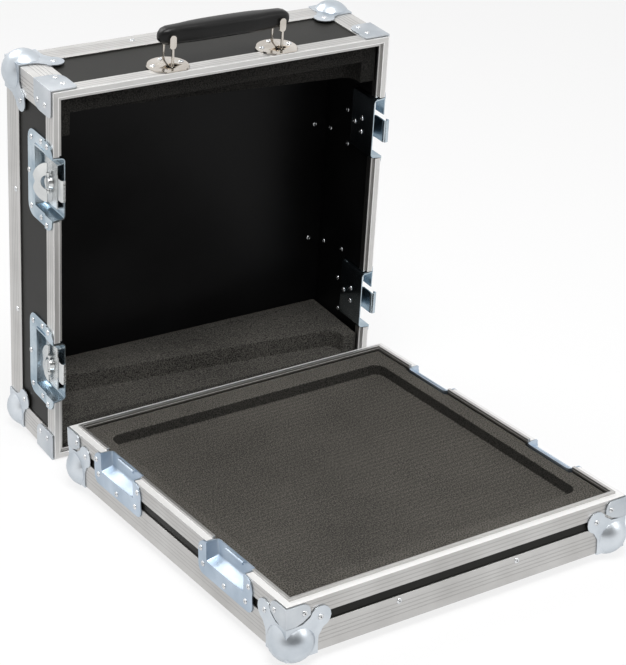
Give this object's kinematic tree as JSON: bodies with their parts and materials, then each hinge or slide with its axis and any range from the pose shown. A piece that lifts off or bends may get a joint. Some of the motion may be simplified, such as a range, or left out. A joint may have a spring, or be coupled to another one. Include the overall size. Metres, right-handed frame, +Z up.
{
  "type": "mixer flight case",
  "caption": "Take-apart flight case for a sloping mixer: deep foam-lined cover with butterfly latches and lift-off hinges, and a shallow foam tray",
  "frame": {"origin": "middle of the footprint of cover and tray, on the surface they stand on", "axes": "+Z up, -Y from the cover towards the tray, +X to the hinge side"},
  "size_m": [0.463, 0.6564, 0.51],
  "materials": {
    "black_laminate": "satin black laminate on plywood",
    "aluminium_extrusion": "drawn, clear anodised",
    "zinc_plated_steel": "bright blue zinc plate",
    "nickel_plated_steel": "polished nickel plate",
    "moulded_grip": "fine grain, satin",
    "packing_foam": "closed-cell foam, matt grain"
  },
  "bodies": {
    "case_cover": {"back_panel": "black_laminate", "bottom_foam": "packing_foam", "bottom_panel": "black_laminate", "cover_ball_corner_bottom_left": "zinc_plated_steel", "cover_ball_corner_bottom_right": "zinc_plated_steel", "cover_ball_corner_top_left": "zinc_plated_steel", "cover_ball_corner_top_right": "zinc_plated_steel", "cover_bottom_rail": "aluminium_extrusion", "cover_brace_bottom_left": "zinc_plated_steel", "cover_brace_bottom_right": "zinc_plated_steel", "cover_brace_top_left": "zinc_plated_steel", "cover_brace_top_right": "zinc_plated_steel", "cover_edge_angles": "aluminium_extrusion", "cover_left_rail": "aluminium_extrusion", "cover_right_rail": "aluminium_extrusion", "cover_top_rail": "aluminium_extrusion", "handle_base_left": "nickel_plated_steel", "handle_base_right": "nickel_plated_steel", "left_side_panel": "black_laminate", "lower_hinge_dish": "zinc_plated_steel", "lower_hinge_strap": "zinc_plated_steel", "lower_latch_bridge": "zinc_plated_steel", "lower_latch_dish": "zinc_plated_steel", "right_side_panel": "black_laminate", "top_foam": "packing_foam", "top_panel": "black_laminate", "upper_hinge_dish": "zinc_plated_steel", "upper_hinge_strap": "zinc_plated_steel", "upper_latch_bridge": "zinc_plated_steel", "upper_latch_dish": "zinc_plated_steel"},
    "case_tray": {"far_hinge_socket": "zinc_plated_steel", "far_keeper_dish": "zinc_plated_steel", "near_hinge_socket": "zinc_plated_steel", "near_keeper_dish": "zinc_plated_steel", "tray_ball_corner_far_left": "zinc_plated_steel", "tray_ball_corner_far_right": "zinc_plated_steel", "tray_ball_corner_near_left": "zinc_plated_steel", "tray_ball_corner_near_right": "zinc_plated_steel", "tray_base_panel": "black_laminate", "tray_brace_far_left": "zinc_plated_steel", "tray_brace_far_right": "zinc_plated_steel", "tray_brace_near_left": "zinc_plated_steel", "tray_brace_near_right": "zinc_plated_steel", "tray_edge_angles": "aluminium_extrusion", "tray_far_rail": "aluminium_extrusion", "tray_foam": "packing_foam", "tray_left_rail": "aluminium_extrusion", "tray_near_rail": "aluminium_extrusion", "tray_right_rail": "aluminium_extrusion", "tray_walls": "black_laminate"},
    "left_bail": {"handle_bail_left": "nickel_plated_steel"},
    "right_bail": {"handle_bail_right": "nickel_plated_steel"},
    "grip": {"handle_grip": "moulded_grip"},
    "lower_hook": {"lower_latch_hook": "zinc_plated_steel"},
    "lower_spindle": {"lower_latch_spindle": "zinc_plated_steel"},
    "lower_wing": {"lower_latch_wing": "zinc_plated_steel"},
    "upper_hook": {"upper_latch_hook": "zinc_plated_steel"},
    "upper_spindle": {"upper_latch_spindle": "zinc_plated_steel"},
    "upper_wing": {"upper_latch_wing": "zinc_plated_steel"}
  },
  "joints": [
    {"name": "tray_away", "type": "slide", "parent": "case_cover", "child": "case_tray", "axis": [0, -1, 0], "range_m": [0, 0.15]},
    {"name": "lower_latch_turn", "type": "hinge", "parent": "case_cover", "child": "lower_spindle", "pos_m": [-0.21614, 0.21175, 0.11825], "axis": [-1, 0, 0], "range_deg": [0, 180]},
    {"name": "lower_latch_draw", "type": "slide", "parent": "case_cover", "child": "lower_hook", "axis": [0, -0.9966, -0.0823], "range_m": [0, 0.008]},
    {"name": "lower_wing_fold", "type": "hinge", "parent": "lower_spindle", "child": "lower_wing", "pos_m": [-0.21144, 0.21175, 0.11825], "axis": [0, -0.0823, 0.9966], "range_deg": [0, 90]},
    {"name": "upper_latch_turn", "type": "hinge", "parent": "case_cover", "child": "upper_spindle", "pos_m": [-0.21614, 0.19283, 0.34747], "axis": [-1, 0, 0], "range_deg": [0, 180]},
    {"name": "upper_latch_draw", "type": "slide", "parent": "case_cover", "child": "upper_hook", "axis": [0, -0.9966, -0.0823], "range_m": [0, 0.008]},
    {"name": "upper_wing_fold", "type": "hinge", "parent": "upper_spindle", "child": "upper_wing", "pos_m": [-0.21144, 0.19283, 0.34747], "axis": [0, -0.0823, 0.9966], "range_deg": [-45, 45]},
    {"name": "handle_swing", "type": "hinge", "parent": "case_cover", "child": "left_bail", "pos_m": [-0.06614, 0.18169, 0.46425], "axis": [0, 0.9966, 0.0823], "range_deg": [-55, 55]},
    {"name": "right_bail_swing", "type": "hinge", "parent": "case_cover", "child": "right_bail", "pos_m": [0.07386, 0.18169, 0.46425], "axis": [0, 0.9966, 0.0823], "range_deg": [-55, 55]},
    {"name": "grip_pivot", "type": "hinge", "parent": "left_bail", "child": "grip", "pos_m": [-0.06614, 0.1793, 0.49315], "axis": [0, 0.9966, 0.0823], "range_deg": [-55, 55]}
  ],
  "couplings": [
    {"joint": "lower_latch_turn", "follows": "lower_latch_draw", "rad_per_m": 392.69},
    {"joint": "upper_latch_turn", "follows": "upper_latch_draw", "rad_per_m": 392.69},
    {"joint": "right_bail_swing", "follows": "handle_swing", "ratio": 1},
    {"joint": "grip_pivot", "follows": "handle_swing", "ratio": -1}
  ]
}
